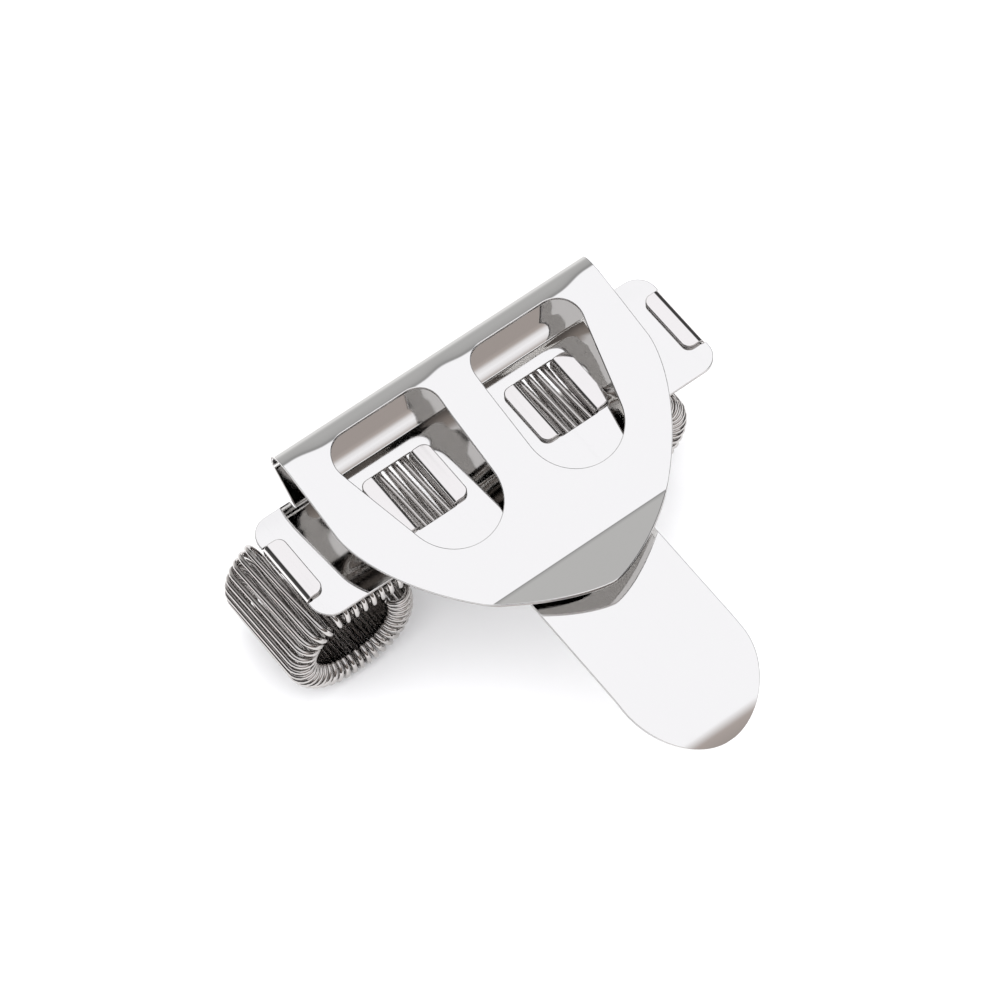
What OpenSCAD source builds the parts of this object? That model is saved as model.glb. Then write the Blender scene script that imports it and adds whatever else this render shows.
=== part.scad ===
// Double pen clip: a sprung pocket clip bent from one sheet, with a flat coil
// spring stapled across its back that curls into a pen loop at each end. The coil
// sits towards the left, so that the left loop stands out beyond its wing.
// X runs along the fold, the tongue points to -Y, and the loops hang below.

/* [Sheet] */
// Thickness of the clip sheet and of the straps
sheet_t = 0.5; // [0.4:0.05:0.6]
// Width of the fold and of the neck
fold_w = 49.8; // [48:0.2:52]

/* [Back plate] */
// Width across both wings
wing_w = 64; // [62:0.5:66]
// Height of the wings along the tongue
wing_h = 17.5; // [16:0.5:20]
// Radius of the wings' outer corners
wing_r = 3; // [1:0.5:3]
// Width of the tongue
tongue_w = 19.3; // [16:0.1:24]
// Length of the sheet from the wings' upper edge to the tongue's tip
tongue_len = 62; // [58:0.5:66]
// Distance from the wings' upper edge to where the tip starts to curl
curl_start = 48; // [44:0.5:50]
// Radius of the tip's curl, away from the flap
curl_r = 18; // [15:1:30]
// Distance from the middle to each window's centre
window_x = 11.4; // [11:0.1:12]
// Window width
window_w = 6.6; // [6.2:0.1:7]
// Window height
window_h = 10.2; // [10.1:0.1:11]

/* [Fold and flap] */
// Angle at which the neck rises from the plate
neck_angle = 50; // [45:1:55]
// Radius inside the bend between plate and neck
neck_bend_r = 0.8; // [0.5:0.1:1.2]
// Outer radius of the rolled fold
roll_r = 2.4; // [2.2:0.1:2.6]
// Height of the roll's axis above the plate
roll_z = 5.6; // [5.5:0.1:6]
// Slope of the flap down to its crease
flap_angle = 13; // [12:0.5:13]
// Distance from the wings' upper edge to the crease
crease_y = 29; // [27:0.5:29]
// Angle at which the lip flares up beyond the crease
lip_angle = 14; // [8:1:20]
// Distance from the wings' upper edge to the lip's tip
lip_y = 37; // [35:0.5:40]

/* [Straps] */
// Width of a strap along the pen
strap_h = 9.8; // [9:0.1:9.9]
// Length of a clinched tab, bend included
tab_len = 2.9; // [2.4:0.1:3.2]
// Radius inside a strap's bends
strap_bend_r = 0.3; // [0.2:0.05:0.35]

/* [Spring] */
// Wire diameter
wire_d = 0.8; // [0.6:0.05:0.9]
// Length of a flattened turn along the pen
turn_len = 17.7; // [17:0.1:19]
// Thickness of a flattened turn
turn_t = 4.25; // [3.75:0.05:4.5]
// Radius of the loops at the middle of the turns
loop_r = 6.575; // [6:0.025:7]
// Flat stretch at the bottom of a loop
loop_flat = 2.2; // [1:0.1:4]
// Distance from the coil's middle to where it starts to curl
curl_x = 23.4; // [23:0.1:24]
// Distance of the coil's middle from the clip's, towards the left
spring_shift = 5.4; // [5:0.1:6]

/* [Hidden] */
$fn = 96;
big = 100;
neck_y = 1.2;          // the neck's bend starts this far inside the plate
fillet_r = 11;         // between the wings and the tongue
window_r = 0.6;        // window corners
turn_y = 9.05;         // middle of the turns, just below the wings' middle
end_r = 12;            // last stretch of a loop, nearly straight
slit = 0.1;            // clearance where a sprung piece starts
lap = 0.01;            // overlap between joined stretches
tab_z = 0.1;           // air under a clinched tab
tab_r = 1.2;           // corners of a tab's free end
crown_air = 0.15;      // between the wires and the strap inside them
slot_air = 0.15;       // between a strap and the turns that part around it
exit_x = 1;            // from the curl's start to where the right strap leaves the coil

strap_y = wing_h / 2;
leg = strap_bend_r + sheet_t;                     // outer radius of a strap's bends
leg_x = window_w / 2 - leg;                       // from a window's centre to the legs
crown_z = -2 * sheet_t - wire_d - crown_air;      // a crown's lower face
run_z = -sheet_t - turn_t / 2;                    // middle of the straight run
loop_z = run_z - loop_r;                          // middle of the loops
bottom_z = loop_z - loop_r - turn_t / 2;
left_x = -spring_shift - curl_x - loop_r - turn_t / 2;
end_angle = asin((loop_r - turn_t / 2 - 0.2) / (end_r + turn_t / 2));
curl_angle = (tongue_len - curl_start) / curl_r * 180 / PI;
tip_y = curl_start + curl_r * sin(curl_angle);

// The roll's axis lies where the neck's back is tangent to the roll
corner_y = -neck_y + (neck_bend_r + sheet_t) * tan(neck_angle / 2);
roll_y = corner_y
         + ((roll_z + sheet_t) * cos(neck_angle) - roll_r) / sin(neck_angle);
back_y = roll_y + roll_r;
crease_run = (crease_y + roll_y - roll_r * sin(flap_angle)) / cos(flap_angle);
crease_z = roll_z + roll_r * cos(flap_angle) - crease_run * sin(flap_angle);

// Drawn on the plate's upper face, placed in the part's own frame
module seat() {
    translate([-(left_x + wing_w / 2) / 2, (tip_y - back_y) / 2, -bottom_z]) children();
}

module rounded_rect(size, r) {
    square([size.x - 2 * r, size.y], center = true);
    square([size.x, size.y - 2 * r], center = true);
    for (sx = [-1, 1], sy = [-1, 1])
        translate([sx * (size.x / 2 - r), sy * (size.y / 2 - r)]) circle(r);
}

// Part of a ring from angle a0 to angle a1, at most half a turn
module ring_sector(r_in, r_out, a0, a1) {
    difference() {
        circle(r_out);
        if (r_in > 0) circle(r_in);
        rotate(a0) translate([-big, -2 * big]) square(2 * big);
        rotate(a1) translate([-big, 0]) square(2 * big);
    }
}

// The corner left over outside a round of radius r
module spandrel(r) {
    difference() {
        square(r);
        circle(r);
    }
}

// A (y, z) outline drawn out across the part
module across(w) {
    translate([-w / 2, 0, 0]) rotate([90, 0, 90]) linear_extrude(w) children();
}

module plate_outline() {
    difference() {
        union() {
            translate([0, -wing_h / 2]) rounded_rect([wing_w, wing_h], wing_r);
            translate([-tongue_w / 2, -curl_start - lap])
                square([tongue_w, curl_start + lap - wing_h / 2]);
            for (s = [0, 1]) mirror([s, 0])
                translate([tongue_w / 2 + fillet_r, -wing_h - fillet_r])
                rotate(90) spandrel(fillet_r);
        }
        translate([-fold_w / 2, -neck_y]) square([fold_w, big]);
        for (s = [-1, 1]) translate([s * window_x, -strap_y])
            rounded_rect([window_w, window_h], window_r);
        for (s = [-1, 1]) translate([s * wing_w / 2, -strap_y])
            square([2 * leg, window_h], center = true);
    }
}

// The curled tip, its round end cut in plan
module tongue_tip() {
    intersection() {
        across(tongue_w) translate([-curl_start, -curl_r])
            ring_sector(curl_r - sheet_t, curl_r, 90, 90 + curl_angle);
        translate([0, 0, -big / 2]) linear_extrude(big) {
            translate([-tongue_w / 2, tongue_w / 2 - tip_y]) square([tongue_w, tip_y]);
            translate([0, tongue_w / 2 - tip_y]) circle(tongue_w / 2);
        }
    }
}

module back_plate() {
    color("lightsteelblue") seat() {
        translate([0, 0, -sheet_t]) linear_extrude(sheet_t) plate_outline();
        tongue_tip();
    }
}

// Rises from the plate to the back of the roll, where the flap takes over
module fold_neck() {
    bend_out = neck_bend_r + sheet_t;
    bend_len = bend_out * tan(neck_angle / 2);
    rise_len = (roll_z + sheet_t - roll_r * cos(neck_angle)) / sin(neck_angle);
    color("slategray") seat() across(fold_w) {
        translate([-neck_y, neck_bend_r])
            ring_sector(neck_bend_r, bend_out, -90, neck_angle - 90);
        translate([corner_y, -sheet_t]) rotate(neck_angle)
            translate([bend_len - lap, 0])
            square([rise_len - bend_len + 2 * lap, sheet_t]);
        translate([roll_y, roll_z])
            ring_sector(roll_r - sheet_t, roll_r, neck_angle - 90, 0);
    }
}

// Over the roll, down to the crease and up again to the lip
module flap_profile() {
    slit_start = slit / roll_r * 180 / PI;
    translate([roll_y, roll_z]) {
        ring_sector(roll_r - sheet_t, roll_r, slit_start, 90 + flap_angle);
        rotate(180 + flap_angle)
            translate([-lap, -roll_r]) square([crease_run + lap, sheet_t]);
    }
    translate([-crease_y, crease_z]) {
        ring_sector(0, sheet_t, 269 - lip_angle, 271 + flap_angle);
        rotate(180 - lip_angle) square([lip_y - crease_y + 2, sheet_t]);
    }
}

// The flap in plan: straight at the fold, then curving in to its lower end
module flap_outline() {
    side_y = 11;
    steps = 40;
    curve = [for (i = [0 : 2 * steps]) let (t = 90 * i / steps)
        [fold_w / 2 * sign(cos(t)) * pow(abs(cos(t)), 1.38),
         -side_y - (lip_y - side_y) * pow(sin(t), 1.25)]];
    difference() {
        polygon(concat([[-fold_w / 2, back_y + 1], [fold_w / 2, back_y + 1]], curve));
        for (s = [0, 1]) mirror([s, 0]) flap_cutout();
    }
}

// An arch, wide at the roll and round at its lower end
module flap_cutout() {
    hull() {
        translate([6, -3.1]) circle(3.1);
        translate([16, -3.5]) circle(3.5);
        translate([9.7, -14.8]) circle(6.7);
    }
}

module front_flap() {
    color("gainsboro") seat() intersection() {
        across(fold_w) flap_profile();
        translate([0, 0, -big / 2]) linear_extrude(big) flap_outline();
    }
}

// A staple from leg face x0 to leg face x1: its crown inside the turns, its
// ends brought up through the plate and clinched over it
module strap(x0, x1) {
    mid = [(x0 + x1) / 2, (crown_z + tab_z + sheet_t) / 2];
    size = [x1 - x0, tab_z + sheet_t - crown_z];
    inner = [size.x - 2 * sheet_t, size.y - 2 * sheet_t];
    seat() difference() {
        translate([0, strap_h / 2 - strap_y, 0]) rotate([90, 0, 0])
            linear_extrude(strap_h) difference() {
                translate(mid) rounded_rect(size, leg);
                translate(mid) rounded_rect(inner, strap_bend_r);
                translate([x0 + tab_len, 0]) square([size.x - 2 * tab_len, 2 * leg]);
            }
        for (end = [[x0, 0], [x1, 1]], side = [0, 1])
            translate([end[0], -strap_y, 0]) mirror([end[1], 0, 0]) mirror([0, side, 0])
            translate([tab_len - tab_r, strap_h / 2 - tab_r, 0])
            linear_extrude(2 * leg) spandrel(tab_r);
    }
}

module left_strap() {
    color("silver") strap(-wing_w / 2, -window_x - leg_x);
}

module centre_strap() {
    color("silver") strap(-window_x + leg_x, window_x - leg_x);
}

module right_strap() {
    color("silver") strap(window_x + leg_x, wing_w / 2);
}

// Flattened turns seen end on: x across their thickness, y along the pen
module turn_shape(t, l) {
    square([t, l - t], center = true);
    for (s = [-1, 1]) translate([0, s * (l - t) / 2]) circle(t / 2);
}

module turn_wall() {
    difference() {
        turn_shape(turn_t, turn_len);
        turn_shape(turn_t - 2 * wire_d, turn_len - 2 * wire_d);
    }
}

// A straight stretch of turns from x0 to x1 at height z
module spring_straight(x0, x1, z) {
    translate([x0, -turn_y, z]) rotate([0, 90, 0]) linear_extrude(x1 - x0) turn_wall();
}

// A curved stretch about (x, z), from angle a0 to angle a1 seen from the tongue
module spring_bend(x, z, r, a0, a1) {
    translate([x, -turn_y, z]) rotate([90, 0, 0]) rotate(a0)
        rotate_extrude(angle = a1 - a0) translate([r, 0]) turn_wall();
}

// Room for a strap's leg or crown between the turns
module strap_slot(x0, x1, z0) {
    translate([x0 - slot_air, -strap_y - strap_h / 2 - slot_air, z0])
        cube([x1 - x0 + 2 * slot_air, strap_h + 2 * slot_air, -z0]);
}

module spring_run() {
    color("darkgray") seat() difference() {
        spring_straight(-spring_shift - curl_x, -spring_shift + curl_x, run_z);
        for (s = [0, 1], x = [window_x - leg_x, window_x + leg_x + sheet_t])
            mirror([s, 0, 0]) strap_slot(x - sheet_t, x, crown_z);
    }
}

// Puts a piece drawn for the coil's left end, from the coil's middle, at either end
module coil_end(right) {
    translate([-spring_shift, 0, 0]) mirror([right, 0, 0]) children();
}

// The first quarter of a loop, which hangs from an outer strap between x0 and x1
module shoulder(right, x0, x1) {
    seat() difference() {
        coil_end(right) spring_bend(-curl_x, loop_z, loop_r, 90, 180);
        strap_slot(x0, x1, crown_z - slot_air);
    }
}

// The rest of a loop, open at its free end under the straight run
module loop(right) {
    flat_x = loop_flat - curl_x;
    seat() coil_end(right) difference() {
        union() {
            spring_bend(-curl_x, loop_z, loop_r, 180, 270);
            spring_straight(-curl_x, flat_x, loop_z - loop_r);
            spring_bend(flat_x, loop_z, loop_r, 270, 360);
            spring_bend(flat_x + loop_r - end_r, loop_z, end_r, 0, end_angle);
        }
        translate([-curl_x - big, -big, loop_z - slit]) cube([big, 2 * big, 2 * slit]);
    }
}

module left_shoulder() {
    color("darkgray") shoulder(0, -wing_w / 2, -spring_shift - curl_x);
}

module right_shoulder() {
    color("darkgray") shoulder(1, curl_x - spring_shift + exit_x, wing_w / 2);
}

module left_loop() {
    color("dimgray") loop(0);
}

module right_loop() {
    color("dimgray") loop(1);
}

back_plate();
fold_neck();
front_flap();
left_strap();
centre_strap();
right_strap();
spring_run();
left_shoulder();
right_shoulder();
left_loop();
right_loop();
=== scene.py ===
"""Looks for the double pen pocket clip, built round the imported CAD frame.

Metres in the row frame; sizes are written in mm and scaled as each piece is placed.
"""

import math

import bmesh
import bpy
from mathutils import Matrix, Vector
from mathutils.geometry import convex_hull_2d, delaunay_2d_cdt
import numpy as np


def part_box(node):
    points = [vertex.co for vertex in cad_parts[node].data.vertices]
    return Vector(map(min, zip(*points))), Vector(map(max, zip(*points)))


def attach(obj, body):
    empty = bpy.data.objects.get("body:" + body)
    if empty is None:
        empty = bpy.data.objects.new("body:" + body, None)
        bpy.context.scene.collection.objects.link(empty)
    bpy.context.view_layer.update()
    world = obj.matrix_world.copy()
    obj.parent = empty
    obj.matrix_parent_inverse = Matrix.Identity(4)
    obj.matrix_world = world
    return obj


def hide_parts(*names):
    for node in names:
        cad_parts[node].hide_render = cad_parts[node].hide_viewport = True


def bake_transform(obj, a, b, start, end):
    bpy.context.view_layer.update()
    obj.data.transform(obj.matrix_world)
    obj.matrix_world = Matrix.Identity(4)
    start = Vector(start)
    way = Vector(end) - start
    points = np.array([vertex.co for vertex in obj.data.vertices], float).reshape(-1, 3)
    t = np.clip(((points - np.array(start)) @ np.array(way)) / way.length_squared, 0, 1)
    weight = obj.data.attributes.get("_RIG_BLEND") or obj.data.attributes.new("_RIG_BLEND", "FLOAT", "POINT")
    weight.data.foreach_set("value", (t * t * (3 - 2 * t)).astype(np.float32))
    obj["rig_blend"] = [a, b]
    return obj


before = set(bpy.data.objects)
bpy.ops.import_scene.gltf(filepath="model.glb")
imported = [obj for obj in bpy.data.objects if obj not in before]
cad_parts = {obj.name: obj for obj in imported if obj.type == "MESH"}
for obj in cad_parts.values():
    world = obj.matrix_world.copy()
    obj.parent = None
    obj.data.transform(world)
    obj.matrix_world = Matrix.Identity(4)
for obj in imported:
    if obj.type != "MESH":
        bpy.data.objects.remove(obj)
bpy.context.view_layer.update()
MM = 0.001

# Sizes in mm, as in the CAD source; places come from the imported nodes
SHEET_T = 0.5
HALF_T = SHEET_T / 2
WING_W, WING_H, WING_R, FILLET_R = 64.0, 17.5, 3.0, 11.0
FOLD_W = 49.8
TONGUE_W, TONGUE_V, CURL_START, CURL_R = 19.3, 60.4, 48.0, 17.75
WINDOW_X, WINDOW_W, WINDOW_H, WINDOW_R = 11.4, 6.6, 10.2, 0.6
STRAP_H, TAB_LEN, TAB_R, NOTCH = 9.8, 2.9, 1.2, 0.8
LEG = WINDOW_W / 2 - 0.8  # from a window's middle to the outer faces of the legs in it
WIRE_R, TURN_LEN, TURN_T = 0.4, 17.7, 4.25
LOOP_R, LOOP_FLAT, CURL_X, SPRING_X = 6.575, 2.2, 23.4, -5.4

plate_lo, plate_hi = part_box("back_plate")
run_lo, run_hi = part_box("spring_run")
# The middle of the wings' upper edge, on the plate's upper face
ORIGIN = Vector(((plate_lo.x + plate_hi.x) / 2, plate_hi.y, run_hi.z + SHEET_T * MM))
TURN_Y = (run_lo.y + run_hi.y) / 2


def rad(a):
    return math.radians(a)


# ---------------------------------------------------------------- lines in a plane


class Path:
    """A line in a plane, in mm: straight stretches and arcs, given as (length, turn)."""

    def __init__(self, start, heading, stretches):
        self.parts, self.length = [], 0.0
        p, a = Vector(start), heading
        for n, turn in stretches:
            self.parts.append((self.length, n, p, a, turn / n))
            self.length += n
            p, a = self._step(p, a, n, turn / n)

    @staticmethod
    def _step(p, a, u, k):
        if abs(k) < 1e-9:
            return p + Vector((math.cos(a), math.sin(a))) * u, a
        b = a + u * k
        return p + Vector((math.sin(b) - math.sin(a), math.cos(a) - math.cos(b))) / k, b

    def __call__(self, s):
        """The point at s, and the direction there."""
        part = self.parts[0]
        for q in self.parts:
            if s >= q[0]:
                part = q
        s0, _, p, a, k = part
        p, a = self._step(p, a, s - s0, k)
        return p, Vector((math.cos(a), math.sin(a)))

    def cuts(self, degrees):
        """Where a flat strip is cut so that it bends smoothly."""
        found = []
        for s0, n, _, _, k in self.parts:
            if abs(k) > 1e-9:
                count = max(2, math.ceil(abs(math.degrees(n * k)) / degrees))
                found += [s0 + n * i / count for i in range(count + 1)]
        return found


# ---------------------------------------------------------------- flat outlines


def arc(cx, cy, r, a0, a1, hollow=False, step=7.5):
    """Points round an arc from a0 to a1 degrees, each with the way out of the metal."""
    count = max(2, math.ceil(abs(a1 - a0) / step))
    out = []
    for i in range(count + 1):
        a = rad(a0 + (a1 - a0) * i / count)
        d = Vector((math.cos(a), math.sin(a)))
        out.append((Vector((cx, cy)) + d * r, -d if hollow else d))
    return out


def mirrored(points):
    """The other half of an outline, seen in the middle line, in the order that closes it."""
    return [(Vector((-p.x, p.y)), Vector((-n.x, n.y))) for p, n in reversed(points)]


def rounded_hole(cx, cy, w, h, r):
    """A rectangular hole, clockwise."""
    out = []
    for sx, sy, a in ((1, 1, 90), (1, -1, 0), (-1, -1, -90), (-1, 1, -180)):
        out += arc(cx + sx * (w / 2 - r), cy + sy * (h / 2 - r), r, a, a - 90, hollow=True,
                   step=15)
    return out


# ---------------------------------------------------------------- sheet metal


# The sheared edges' faces are rough metal, and their darker colour is painted shade for the dark lines seen
# along the sheet's edges.
PLATED, SHEARED_PAINTED_SHADE = 0, 1  # a sheet's materials
FLAT_ROW = 4  # the flat side between an edge's two rounded corners


def flat_sheet(loops, cuts, thick, edge, upright=()):
    """A flat sheet with softly rounded edges, lying in x and y, cut across at each of cuts
    and along at each of upright.
    The vertex layer "n" holds the true surface direction."""
    bm = bmesh.new()
    layer = bm.verts.layers.float_vector.new("n")
    rows = [(90 - 22.5 * k, 1) for k in range(5)] + [(-22.5 * k, -1) for k in range(5)]
    rings, flat, edges = [], [], []
    for loop in loops:
        ring = []
        for a, side in rows:
            line = []
            for p, n in loop:
                c, s = math.cos(rad(a)), math.sin(rad(a))
                q = p - n * edge * (1 - c)
                v = bm.verts.new((q.x, q.y, side * (thick / 2 - edge) + edge * s))
                v[layer] = (n.x * c, n.y * c, s)
                line.append(v)
            ring.append(line)
        rings.append(ring)
        first = len(flat)
        flat += [p - n * edge for p, n in loop]
        edges += [(first + i, first + (i + 1) % len(loop)) for i in range(len(loop))]
    bm.verts.ensure_lookup_table()
    top = [v for ring in rings for v in ring[0]]
    low = [v for ring in rings for v in ring[-1]]
    _, _, tris, sources, _, _ = delaunay_2d_cdt(flat, edges, [], 1, 1e-7)
    outlines = [[p - n * edge for p, n in loop] for loop in loops]
    for tri in tris:
        ids = [sources[i][0] for i in tri]
        mid = sum((flat[i] for i in ids), Vector((0, 0))) / 3
        if any(inside(mid, hole) for hole in outlines[1:]) or not inside(mid, outlines[0]):
            continue
        bm.faces.new([top[i] for i in ids])
        bm.faces.new([low[i] for i in reversed(ids)])
    for ring in rings:
        count = len(ring[0])
        for k, (a, b) in enumerate(zip(ring, ring[1:])):
            for i in range(count):
                j = (i + 1) % count
                face = bm.faces.new((a[i], b[i], b[j], a[j]))
                # The flat side of each edge gets the darker edge material: painted shade along the edges.
                face.material_index = SHEARED_PAINTED_SHADE if k == FLAT_ROW else PLATED
    planes = [((0, s, 0), (0, 1, 0)) for s in cuts] + [((x, 0, 0), (1, 0, 0)) for x in upright]
    for co, no in planes:
        geom = bm.verts[:] + bm.edges[:] + bm.faces[:]
        bmesh.ops.bisect_plane(bm, geom=geom, dist=1e-6, plane_co=co, plane_no=no)
    return bm


def inside(p, loop):
    """True if p is inside a closed outline."""
    hit = False
    for a, b in zip(loop, loop[1:] + loop[:1]):
        if (a.y > p.y) != (b.y > p.y):
            if p.x < a.x + (b.x - a.x) * (p.y - a.y) / (b.y - a.y):
                hit = not hit
    return hit


def bend(bm, line, across, e1, e2, origin):
    """Wraps a flat sheet along a line in the plane of e1 and e2, given as line(x, s)."""
    layer = bm.verts.layers.float_vector["n"]
    for v in bm.verts:
        p, t = line(v.co.x, v.co.y)
        side = e1 * t.x + e2 * t.y
        up = e1 * -t.y + e2 * t.x
        n = v[layer].normalized()
        h = v.co.z
        v[layer] = across * n.x + side * n.y + up * n.z
        v.co = origin + (across * v.co.x + e1 * p.x + e2 * p.y + up * h) * MM


def piece(name, bm, material, keep=None):
    """An object from a bmesh, its normals taken from the layer "n". keep says which stretch
    of a bent sheet it takes, by how far along the sheet its faces lie."""
    if keep is not None:
        bm = bm.copy()
        s = bm.verts.layers.float["s"]
        gone = [f for f in bm.faces if not keep(sum(v[s] for v in f.verts) / len(f.verts))]
        bmesh.ops.delete(bm, geom=gone, context="FACES")
    layer = bm.verts.layers.float_vector["n"]
    normals = [v[layer].normalized() for v in bm.verts]
    mesh = bpy.data.meshes.new(name)
    bm.to_mesh(mesh)
    mesh.polygons.foreach_set("use_smooth", [True] * len(mesh.polygons))
    mesh.normals_split_custom_set_from_vertices(normals)
    mesh.attributes.remove(mesh.attributes["n"])
    mesh.materials.append(material)
    # The second material darkens the edge faces as painted shade.
    mesh.materials.append(edge_painted_shade_metal)
    obj = bpy.data.objects.new(name, mesh)
    bpy.context.scene.collection.objects.link(obj)
    return obj


# ---------------------------------------------------------------- materials


def polished(name, colour, grain=1.0, dull=0.0):
    """Bright nickel: a mirror with faint waves, polishing lines and duller wear spots."""
    m = bpy.data.materials.new(name)
    m.use_nodes = True
    nodes, links = m.node_tree.nodes, m.node_tree.links
    shader = nodes["Principled BSDF"]
    shader.inputs["Base Color"].default_value = (*colour, 1)
    shader.inputs["Metallic"].default_value = 1.0
    where = nodes.new("ShaderNodeTexCoord").outputs["Object"]

    def noise(scale, detail, stretch=(1, 1, 1)):
        mapping = nodes.new("ShaderNodeMapping")
        mapping.inputs["Scale"].default_value = stretch
        links.new(where, mapping.inputs["Vector"])
        n = nodes.new("ShaderNodeTexNoise")
        n.inputs["Scale"].default_value = scale
        n.inputs["Detail"].default_value = detail
        links.new(mapping.outputs["Vector"], n.inputs["Vector"])
        return n.outputs["Fac"]

    def spread(value, lo, hi, out_lo, out_hi):
        r = nodes.new("ShaderNodeMapRange")
        for key, x in (("From Min", lo), ("From Max", hi), ("To Min", out_lo),
                       ("To Max", out_hi)):
            r.inputs[key].default_value = x
        links.new(value, r.inputs["Value"])
        return r.outputs["Result"]

    lines = noise(900, 2, (1, 0.04, 1))
    haze = noise(60, 4)
    rough = nodes.new("ShaderNodeMath")
    rough.operation = "ADD"
    links.new(spread(haze, 0.35, 0.75, dull + 0.025, dull + 0.08), rough.inputs[0])
    links.new(spread(lines, 0.55, 0.8, 0.0, 0.05 * grain), rough.inputs[1])
    links.new(rough.outputs["Value"], shader.inputs["Roughness"])

    waves = nodes.new("ShaderNodeBump")
    waves.inputs["Strength"].default_value = 0.25
    waves.inputs["Distance"].default_value = 0.00006
    links.new(noise(140, 1), waves.inputs["Height"])
    fine = nodes.new("ShaderNodeBump")
    fine.inputs["Strength"].default_value = 0.06 * grain
    fine.inputs["Distance"].default_value = 0.00001
    links.new(lines, fine.inputs["Height"])
    links.new(waves.outputs["Normal"], fine.inputs["Normal"])
    links.new(fine.outputs["Normal"], shader.inputs["Normal"])
    return m


sheet_metal = polished("plated_sheet", (0.718, 0.71, 0.70))
strap_metal = polished("plated_strap", (0.70, 0.68, 0.67), 1.5)
wire_metal = polished("spring_wire", (0.50, 0.48, 0.465), 0.1)
# The edge material's roughness is the sheared metal's own; its dark colour is painted shade, standing in for
# the dark reflections along the edges.
edge_painted_shade_metal = polished("sheared_edge_painted_shade", (0.30, 0.28, 0.27), 2.0, 0.3)


# ---------------------------------------------------------------- the clip sheet

NECK_Y, NECK_ANGLE, NECK_R = 1.2, 46.0, 0.65
ROLL_R, TOP_R, TOP_TURN = 2.1, 8.0, 22.0
FLAP_Z, FLAP_ANGLE = 7.74, 13.0  # the flap's upper face over the wings' upper edge
CREASE_V, LIP_ANGLE, LIP_V, CREASE_R = 29.0, 14.0, 37.0, 3.0
EDGE_R = 0.12
FLAP_SIDE_V = 11.0  # the flap's sides curve in from here

tip_turn = 14.0 / 18.0
roll_turn = rad(180 + FLAP_ANGLE - NECK_ANGLE - TOP_TURN)
crease_turn = rad(FLAP_ANGLE + LIP_ANGLE)
crease_cut = math.tan(crease_turn / 2)
lip_run = (LIP_V - CREASE_V - 0.1) / math.cos(rad(LIP_ANGLE)) - CREASE_R * crease_cut
first_point = (-CURL_START - CURL_R * math.sin(tip_turn), -18.0 + CURL_R * math.cos(tip_turn))


def sheet_path(neck_run, rest=()):
    """The middle line from the tongue's tip over the roll, and any stretches after it."""
    return Path(first_point, tip_turn, [
        (CURL_R * tip_turn, -tip_turn), (CURL_START - NECK_Y, 0.0),
        (NECK_R * rad(NECK_ANGLE), rad(NECK_ANGLE)), (neck_run, 0.0),
        (ROLL_R * roll_turn, roll_turn), (TOP_R * rad(TOP_TURN), rad(TOP_TURN)), *rest])


def end_of(path):
    return path(path.length)[0]


# The neck is as long as it takes for the flap to lie at its height
off_flap = Vector((-math.sin(rad(FLAP_ANGLE)), math.cos(rad(FLAP_ANGLE))))
short_by = -HALF_T - (end_of(sheet_path(1.0)) - Vector((0, FLAP_Z))).dot(off_flap)
neck_run = 1.0 + short_by / math.sin(rad(NECK_ANGLE - FLAP_ANGLE))
flap_run = ((CREASE_V + end_of(sheet_path(neck_run)).x) / math.cos(rad(FLAP_ANGLE))
            - (CREASE_R - HALF_T) * crease_cut)
profile = sheet_path(neck_run, [
    (flap_run, 0.0), (CREASE_R * crease_turn, -crease_turn), (lip_run, 0.0)])
S_FLAT = profile.parts[1][0]
S_NECK = profile.parts[2][0]
S_ROLL = profile.parts[4][0]
S_TOP = profile.parts[5][0]
S_FLAP = profile.parts[6][0]
SEAM = (profile.parts[3][0] + S_ROLL) / 2


def on_plate(v):
    """How far along the sheet the plate is v below the wings' upper edge."""
    if v <= CURL_START:
        return S_FLAT + CURL_START - v
    return S_FLAT - CURL_R * math.asin(min(1.0, (v - CURL_START) / CURL_R))


def on_flap(v):
    """How far along the sheet the flap is over the same line, found by halving."""
    lo, hi = S_ROLL + 2.5, profile.length
    for _ in range(50):
        mid = (lo + hi) / 2
        if -profile(mid)[0].x < v:
            lo = mid
        else:
            hi = mid
    return (lo + hi) / 2


def normals_of(points):
    """Gives each point of an open line, metal on its left, the way out of the metal."""
    out = []
    for i, p in enumerate(points):
        d = points[min(i + 1, len(points) - 1)] - points[max(i - 1, 0)]
        out.append((p, Vector((d.y, -d.x)).normalized()))
    return out


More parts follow.
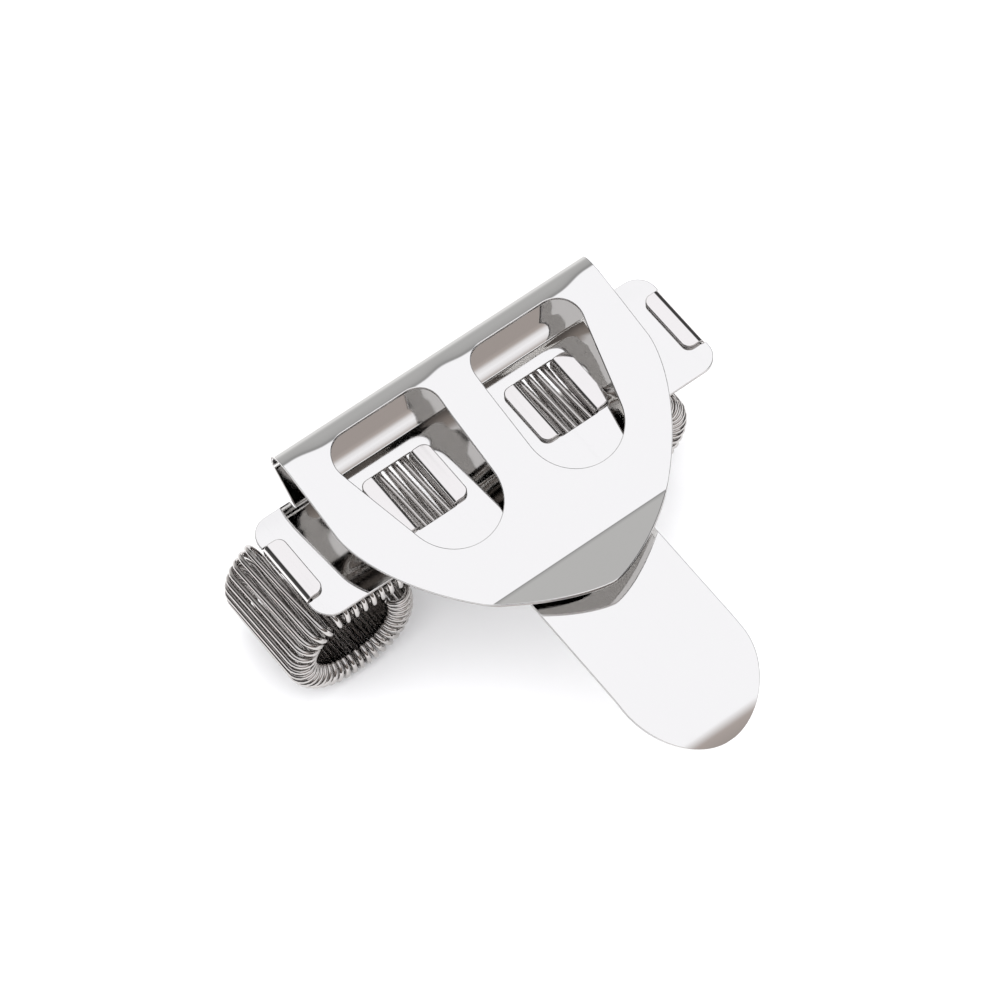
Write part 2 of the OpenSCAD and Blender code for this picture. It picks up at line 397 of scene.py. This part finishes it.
def sheet_outline():
    """The right half of the flat pattern from the tongue's tip to the lip's end."""
    half, side_x, fold_x = TONGUE_W / 2, WING_W / 2, FOLD_W / 2
    small, slit = 0.2, 0.15  # radius of the notches' corners, and the gap beside the neck
    tip = []
    for i in range(1, 25):
        a = rad(90 * i / 24)
        tip.append(Vector((half * math.sin(a), on_plate(TONGUE_V - half + half * math.cos(a)))))
    right = normals_of([Vector((-tip[0].x, tip[0].y))] + tip)[1:]
    right[-1] = (right[-1][0], Vector((1, 0)))
    low, high, mid = on_plate(WING_H), on_plate(0), on_plate(WING_H / 2)
    right += arc(half + FILLET_R, low - FILLET_R, FILLET_R, 180, 90, hollow=True)
    right += arc(side_x - WING_R, low + WING_R, WING_R, -90, 0)
    # The notch that the outer strap's leg passes through
    outer, inner = side_x - small, side_x - NOTCH + small
    right += arc(outer, mid - WINDOW_H / 2 - small, small, 0, 90, step=22)
    right += arc(inner, mid - WINDOW_H / 2 + small, small, 270, 180, hollow=True, step=22)
    right += arc(inner, mid + WINDOW_H / 2 - small, small, 180, 90, hollow=True, step=22)
    right += arc(outer, mid + WINDOW_H / 2 + small, small, -90, 0, step=22)
    right += arc(side_x - WING_R, high - WING_R, WING_R, 0, 90)
    right += arc(fold_x + slit + small, high - small, small, 90, 180, step=22)
    right += arc(fold_x + slit / 2, high - NECK_Y, slit / 2, 0, -180, hollow=True, step=30)
    curve = []
    for i in range(0, 60):
        a = rad(90 * i / 60)
        g = fold_x * math.cos(a) ** 1.38
        v = FLAP_SIDE_V + (LIP_V - 0.15 - FLAP_SIDE_V) * math.sin(a) ** 1.25
        curve.append(Vector((g, on_flap(v))))
    right += [(Vector((fold_x, S_ROLL)), Vector((1, 0)))]
    curve = normals_of(curve + [Vector((-curve[-1].x, curve[-1].y))])[:-1]
    curve[0] = (curve[0][0], Vector((1, 0)))
    return right + curve


def cutout(side):
    """One arched hole in the flap, clockwise."""
    circles = ((6.0, -3.1, 3.1), (16.0, -3.5, 3.5), (9.7, -14.8, 6.7))
    points = []
    for cx, cy, r in circles:
        for i in range(64):
            a = 2 * math.pi * i / 64
            n = Vector((math.cos(a), math.sin(a)))
            points.append((Vector((cx, cy)) + n * r, -n))
    hull = [points[i] for i in convex_hull_2d([p for p, _ in points])]
    out = []
    for p, n in hull:
        q = Vector((side * p.x, on_flap(-p.y)))
        out.append((q, Vector((side * n.x, -n.y))))
    area = sum(a[0].x * b[0].y - b[0].x * a[0].y for a, b in zip(out, out[1:] + out[:1]))
    return out if area < 0 else out[::-1]


right_half = sheet_outline()
loops = [right_half + mirrored(right_half)]
for side in (-1, 1):
    loops.append(rounded_hole(side * WINDOW_X, on_plate(WING_H / 2), WINDOW_W, WINDOW_H,
                              WINDOW_R))
    loops.append(cutout(side))
# Cut at the bends, and closely wherever the sheet swells
cuts = profile.cuts(5.0) + [SEAM]
cuts += [on_plate(NECK_Y + 0.4 * k) for k in range(1, 10)]
cuts += [S_NECK + 0.5 * k for k in range(2, 7)] + [S_TOP + 0.6 * k for k in range(1, 14)]
upright = [0.0] + [side * (x0 + 0.6 * k) for side in (-1, 1)
                   for x0, count in ((0.6, 6), (18.5, 9)) for k in range(count)]
clip = flat_sheet(loops, cuts, SHEET_T, EDGE_R, upright)
reach = clip.verts.layers.float.new("s")
for v in clip.verts:
    v[reach] = v.co.y


NECK_SWELL, ROLL_SWELL = 0.3, 0.28  # how far the sheet stands up at most
BRIDGE_SHARE = 0.45  # how much of the roll's swell is left between the cut-outs


def clamp(w):
    return max(0.0, min(1.0, w))


def ease(w):
    """A smooth step from 0 to 1."""
    w = clamp(w)
    return w * w * (3 - 2 * w)


def swell(x, s):
    """How far the sheet stands up from its plain bent shape, and how steeply: it rises to the
    neck, and springs up a little over the cut-outs, where the roll is weakest."""
    wide = 1 - ease((abs(x) - 18.5) / 5)
    bridge = BRIDGE_SHARE + (1 - BRIDGE_SHARE) * ease(abs(x) / 3.5)

    def height(s):
        """Signed towards the roll's inside, which is up at the neck and down over the top."""
        if s < SEAM:
            up = ease((s - on_plate(4.8)) / 3.6) * (1 - ease((s - S_NECK) / 3))
            return NECK_SWELL * wide * up
        w = clamp((s - S_TOP) / 8)
        return -ROLL_SWELL * 16 * w * w * (1 - w) ** 2 * wide * bridge

    return height(s), (height(s + 0.01) - height(s - 0.01)) / 0.02


def sheet_line(x, s):
    """The sheet's middle line at x; beside the neck the wings stay level."""
    if S_NECK < s < SEAM and abs(x) > FOLD_W / 2 + 0.1:
        return Vector((s - S_FLAT - CURL_START, -HALF_T)), Vector((1, 0))
    p, t = profile(s)
    rise, slope = swell(x, s)
    up = Vector((-t.y, t.x))
    return p + up * rise, (t + up * slope).normalized()


bend(clip, sheet_line, Vector((1, 0, 0)), Vector((0, 1, 0)), Vector((0, 0, 1)), ORIGIN)

plate = piece("clip_plate", clip, sheet_metal, lambda s: s < SEAM)
flap = piece("clip_flap", clip, sheet_metal, lambda s: s > SEAM)
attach(plate, "clip")
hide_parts("back_plate")

# The flap's bending is spread over the neck and the roll, measured along a leaning line
lean = rad(20)
bend_from = profile(SEAM + 1.0)[0]
bend_to = profile(S_FLAP)[0]
axis = Vector((-math.sin(lean), math.cos(lean)))
rise = (bend_to - bend_from).dot(axis)
start = ORIGIN + Vector((0, bend_from.x, bend_from.y)) * MM
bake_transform(flap, "clip", "flap", start=start,
         end=start + Vector((0, axis.x, axis.y)) * rise * MM)
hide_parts("fold_neck", "front_flap")


# ---------------------------------------------------------------- the straps


def strap(name, x0, x1, node):
    """A staple whose outer faces are x0 and x1: tab, leg, crown inside the coil, leg, tab."""
    tight, wide = 0.55, 0.8  # bends at the crown and at the tabs
    top, crown = 0.1 + HALF_T, -1.7
    over = (wide * math.pi / 2, math.pi / 2)
    under = (tight * math.pi / 2, math.pi / 2)
    tab, leg = TAB_LEN - HALF_T - wide, top - crown - tight - wide
    left, right = x0 + HALF_T, x1 - HALF_T
    line = Path((left + wide + tab, top), math.pi, [
        (tab, 0.0), over, (leg, 0.0), under, (right - left - 2 * tight, 0.0), under,
        (leg, 0.0), over, (tab, 0.0)])
    corner, end = STRAP_H / 2 - TAB_R, line.length - TAB_R
    loop = []
    for cx, cy, a in ((corner, TAB_R, -90), (corner, end, 0), (-corner, end, 90),
                      (-corner, TAB_R, 180)):
        loop += arc(cx, cy, TAB_R, a, a + 90)
    bm = flat_sheet([loop], line.cuts(9.0), SHEET_T, 0.14)
    middle_y = ORIGIN + Vector((0, -WING_H / 2, 0)) * MM
    bend(bm, lambda x, s: line(s), Vector((0, -1, 0)), Vector((1, 0, 0)), Vector((0, 0, 1)),
         middle_y)
    obj = piece(name, bm, strap_metal)
    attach(obj, "clip")
    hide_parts(node)
    return obj


strap("strap_left", -WING_W / 2, -WINDOW_X - LEG, "left_strap")
strap("strap_centre", -WINDOW_X + LEG, WINDOW_X - LEG, "centre_strap")
strap("strap_right", WINDOW_X + LEG, WING_W / 2, "right_strap")


# ---------------------------------------------------------------- the coil

MIDDLE = Vector((ORIGIN.x + SPRING_X * MM, TURN_Y, ORIGIN.z))
RUN_Z = -SHEET_T - TURN_T / 2
TAIL_R = 12.0
TAIL_TURN = math.asin((LOOP_R - TURN_T / 2 - 0.2) / (TAIL_R + TURN_T / 2))
band = Path((0.0, RUN_Z), 0.0, [
    (CURL_X, 0.0), (LOOP_R * math.pi, -math.pi), (LOOP_FLAT, 0.0),
    (LOOP_R * math.pi / 2, -math.pi / 2), (TAIL_R * TAIL_TURN, -TAIL_TURN)])
FLAT_B = (TURN_LEN - TURN_T) / 2
CAP_R = TURN_T / 2 - WIRE_R
ROUND = 4 * FLAT_B + 2 * math.pi * CAP_R

# The turns part where a strap passes between them: (turn, place along the band from the
# coil's middle, half the gap). Elsewhere they are evenly spread.
near, far = WINDOW_X - LEG - HALF_T, WINDOW_X + LEG + HALF_T
shoulder = math.asin((WING_W / 2 - HALF_T + SPRING_X - CURL_X) / (LOOP_R + CAP_R))
PARTED = ((-16, -CURL_X - LOOP_R * shoulder, 0.95), (-4, -far - SPRING_X, 0.95),
          (0, -near - SPRING_X, 0.95), (12, near - SPRING_X, 0.95),
          (16, far - SPRING_X, 0.95), (21, 26.25, 1.25))
LOOP_PITCH = 1.115
BAND_END = band.length - WIRE_R
places = [p for u, s, w in PARTED for p in ((u - 0.5, s - w), (u + 0.5, s + w))]
FIRST = places[0][0] - (BAND_END + places[0][1]) / LOOP_PITCH
LAST = places[-1][0] + (BAND_END - places[-1][1]) / LOOP_PITCH
places = [(FIRST, -BAND_END)] + places + [(LAST, BAND_END)]


def place_of(turn):
    """How far along the band a turn lies, signed from the middle."""
    for (u0, s0), (u1, s1) in zip(places, places[1:]):
        if turn <= u1:
            break
    return s0 + (s1 - s0) * (turn - u0) / (u1 - u0)


def turn_at(place):
    """A half turn, where the wire is outermost, close to a place along the band."""
    for (u0, s0), (u1, s1) in zip(places, places[1:]):
        if place <= s1:
            break
    return math.floor(u0 + (u1 - u0) * (place - s0) / (s1 - s0)) + 0.5


def flattened(q):
    """Once round a flattened turn: (towards the outside, along the pen) and the way out."""
    d = (q % 1.0) * ROUND
    for a, sign in ((-CAP_R, 1), (CAP_R, -1)):
        if d <= FLAT_B:
            return Vector((a, sign * d)), Vector((sign * -1, 0))
        d -= FLAT_B
        if d <= math.pi * CAP_R:
            t = d / CAP_R
            n = Vector((-math.cos(t), math.sin(t))) * sign
            return Vector((0, sign * FLAT_B)) + n * CAP_R, n
        d -= math.pi * CAP_R
        if d <= FLAT_B:
            return Vector((-a, sign * (FLAT_B - d))), Vector((sign, 0))
        d -= FLAT_B
    return Vector((-CAP_R, 0)), Vector((-1, 0))


def wire_at(turn):
    """The wire's middle line, and the way out of the coil there."""
    s = place_of(turn)
    p, t = band(abs(s))
    side = 1 if s >= 0 else -1
    out = Vector((side * -t.y, 0, t.x))
    o, n = flattened(turn)
    middle_line = Vector((side * p.x, 0, p.y)) + out * o.x + Vector((0, o.y, 0))
    return middle_line, (out * n.x + Vector((0, n.y, 0))).normalized()


# Where a turn is sampled: seldom on its straight sides, often round its ends
STOPS = []
for base in (0.0, 0.5):
    straight, cap = FLAT_B / ROUND, math.pi * CAP_R / ROUND
    STOPS += [base + straight * i / 3 for i in range(3)]
    STOPS += [base + straight + cap * i / 10 for i in range(11)]
    STOPS += [base + straight + cap + straight * i / 3 for i in range(1, 3)]
SIDES = 10


def wire(name, u0, u1, close0=False, close1=False):
    """The wire between two turns as a round tube."""
    turns = [u0]
    for k in range(math.floor(u0) - 1, math.ceil(u1) + 1):
        turns += [k + q for q in STOPS if u0 + 1e-4 < k + q < u1 - 1e-4]
    turns = sorted(set(turns)) + [u1]
    bm = bmesh.new()
    layer = bm.verts.layers.float_vector.new("n")
    rings = []
    for u in turns:
        p, out = wire_at(u)
        t = (wire_at(u + 0.003)[0] - wire_at(u - 0.003)[0]).normalized()
        out = (out - t * out.dot(t)).normalized()
        across = t.cross(out)
        ring = []
        for i in range(SIDES):
            a = 2 * math.pi * i / SIDES
            n = out * math.cos(a) + across * math.sin(a)
            v = bm.verts.new(MIDDLE + (p + n * WIRE_R) * MM)
            v[layer] = n
            ring.append(v)
        rings.append(ring)
    for a, b in zip(rings, rings[1:]):
        for i in range(SIDES):
            j = (i + 1) % SIDES
            bm.faces.new((a[i], a[j], b[j], b[i]))
    for ring, closed, sign in ((rings[0], close0, -1), (rings[-1], close1, 1)):
        if closed:
            face = bm.faces.new(ring if sign > 0 else ring[::-1])
            bmesh.ops.inset_individual(bm, faces=[face], thickness=0.1 * MM, depth=0.08 * MM)
    return piece(name, bm, wire_metal)


# The wire is parted just before each curl, and at each loop's lowest point
CURL, DOWN = CURL_X - 1.5, CURL_X + LOOP_R * math.pi
run = wire("coil_run", turn_at(-CURL), turn_at(CURL))
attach(run, "clip")
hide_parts("spring_run")
for side, name in ((-1, "left"), (1, "right")):
    bow = wire(f"coil_{name}_bow", *sorted((turn_at(side * CURL), turn_at(side * DOWN))))
    low = MIDDLE.z + (RUN_Z - 2 * LOOP_R + TURN_T / 2 + 0.4) * MM
    high = MIDDLE.z + (RUN_Z - TURN_T / 2 - 0.2) * MM
    x = MIDDLE.x + side * (CURL_X + LOOP_R) * MM
    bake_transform(bow, "clip", f"{name}_loop", start=(x, 0, high), end=(x, 0, low))
    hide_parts(f"{name}_shoulder")
    end = LAST if side > 0 else FIRST
    tail = wire(f"coil_{name}_loop", *sorted((turn_at(side * DOWN), end)), close0=side < 0,
                close1=side > 0)
    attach(tail, f"{name}_loop")
    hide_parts(f"{name}_loop")


# ---------------------------------------------------------------- floor, light and camera


def plain(name, colour, rough):
    """An even, dull surface with a trace of mottling."""
    m = bpy.data.materials.new(name)
    m.use_nodes = True
    nodes, links = m.node_tree.nodes, m.node_tree.links
    shader = nodes["Principled BSDF"]
    shader.inputs["Roughness"].default_value = rough
    noise = nodes.new("ShaderNodeTexNoise")
    noise.inputs["Scale"].default_value = 6
    ramp = nodes.new("ShaderNodeValToRGB")
    ramp.color_ramp.elements[0].color = (*[c * 0.985 for c in colour], 1)
    ramp.color_ramp.elements[1].color = (*colour, 1)
    links.new(noise.outputs["Fac"], ramp.inputs["Fac"])
    links.new(ramp.outputs["Color"], shader.inputs["Base Color"])
    return m


floor_mesh = bpy.data.meshes.new("floor")
fb = bmesh.new()
bmesh.ops.create_grid(fb, x_segments=8, y_segments=8, size=1.5)
fb.to_mesh(floor_mesh)
floor = bpy.data.objects.new("floor", floor_mesh)
floor.location.z = -0.00002
floor_mesh.materials.append(plain("pale_floor", (0.88, 0.88, 0.89), 0.7))
bpy.context.scene.collection.objects.link(floor)

scene = bpy.context.scene
scene.view_settings.view_transform = "Standard"
world = bpy.data.worlds.new("tent")
scene.world = world
world.use_nodes = True
wn, wl = world.node_tree.nodes, world.node_tree.links
background = wn["Background"]
background.inputs["Strength"].default_value = 1.0


def sky_math(operation, a, b):
    """One step of arithmetic on the sky's sockets and on plain numbers."""
    n = wn.new("ShaderNodeMath")
    n.operation = operation
    for k, value in enumerate((a, b)):
        if isinstance(value, float):
            n.inputs[k].default_value = value
        else:
            wl.new(value, n.inputs[k])
    return n.outputs["Value"]


def sky_ramp(angle, stops):
    """A colour for each angle in degrees, given as (angle, colour)."""
    n = wn.new("ShaderNodeValToRGB")
    n.color_ramp.elements[0].color = (*stops[0][1], 1)
    n.color_ramp.elements[1].color = (*stops[-1][1], 1)
    for at, colour in stops[1:-1]:
        n.color_ramp.elements.new(at / 360 + 0.5).color = (*colour, 1)
    part = sky_math("MULTIPLY", angle, 1 / (2 * math.pi))
    wl.new(sky_math("ADD", part, 0.5), n.inputs["Fac"])
    return n.outputs["Color"]


def grey(value, tint=(1.0, 1.0, 1.0)):
    """A brightness with a tint."""
    return tuple(value * c for c in tint)


# The metal sees a white tent with a darker back, front and sides; the floor is lit evenly
direction = wn.new("ShaderNodeTexCoord").outputs["Generated"]
split = wn.new("ShaderNodeSeparateXYZ")
wl.new(direction, split.inputs["Vector"])
x, y, z = (split.outputs[k] for k in "XYZ")
cool, warm = (0.995, 0.998, 1.03), (1.04, 0.93, 0.88)
fore_and_aft = sky_ramp(sky_math("ARCTAN2", y, z), [
    (-180, grey(0.5, warm)), (-90, grey(0.15, warm)), (-62, grey(0.46, warm)),
    (-54, grey(0.52, warm)), (-46, grey(1.28, cool)), (28.5, grey(1.28, cool)),
    (31.5, grey(0.34)), (38, grey(0.5)), (57, grey(0.66)), (72, grey(0.98)),
    (180, grey(0.9))])
sideways = sky_ramp(sky_math("ARCSINE", x, 0.0), [
    (-180, grey(0.13)), (-32, grey(0.13)), (-24, grey(1.0)), (24, grey(1.0)),
    (32, grey(0.13)), (180, grey(0.13))])
seen = wn.new("ShaderNodeMix")
seen.data_type, seen.blend_type = "RGBA", "MULTIPLY"
seen.inputs["Factor"].default_value = 1.0
wl.new(fore_and_aft, seen.inputs["A"])
wl.new(sideways, seen.inputs["B"])
lit = wn.new("ShaderNodeMix")
lit.data_type = "RGBA"
wl.new(wn.new("ShaderNodeLightPath").outputs["Is Diffuse Ray"], lit.inputs["Factor"])
wl.new(seen.outputs["Result"], lit.inputs["A"])
lit.inputs["B"].default_value = (1.85, 1.85, 1.86, 1)
wl.new(lit.outputs["Result"], background.inputs["Color"])

VIEW_RIGHT = Vector((0.803, -0.594, -0.0475)).normalized()
TO_CAMERA = Vector((-0.272, -0.436, 0.858)).normalized()
VIEW_UP = TO_CAMERA.cross(VIEW_RIGHT).normalized()
aim = ORIGIN + Vector((-3.5, -16.7, 0.0)) * MM
camera = bpy.data.cameras.new("camera")
camera.lens, camera.sensor_width = 200, 36
camera.clip_start, camera.clip_end = 0.05, 10
holder = bpy.data.objects.new("camera", camera)
turned = Matrix((VIEW_RIGHT, VIEW_UP, TO_CAMERA)).transposed()
holder.matrix_world = Matrix.Translation(aim + TO_CAMERA * 0.715) @ turned.to_4x4()
scene.collection.objects.link(holder)
scene.camera = holder

# Each light's place, size and power
LIGHTS = (((0.25, 0.1, 0.75), 0.5, 0.8), ((-0.6, -0.2, 0.5), 0.4, 0.3))
for k, (spot, size, power) in enumerate(LIGHTS):
    lamp = bpy.data.lights.new(f"softbox_{k}", "AREA")
    lamp.size, lamp.energy = size, power
    o = bpy.data.objects.new(lamp.name, lamp)
    o.location = spot
    o.rotation_euler = (-Vector(spot)).to_track_quat("-Z", "Y").to_euler()
    o.visible_glossy = False
    scene.collection.objects.link(o)
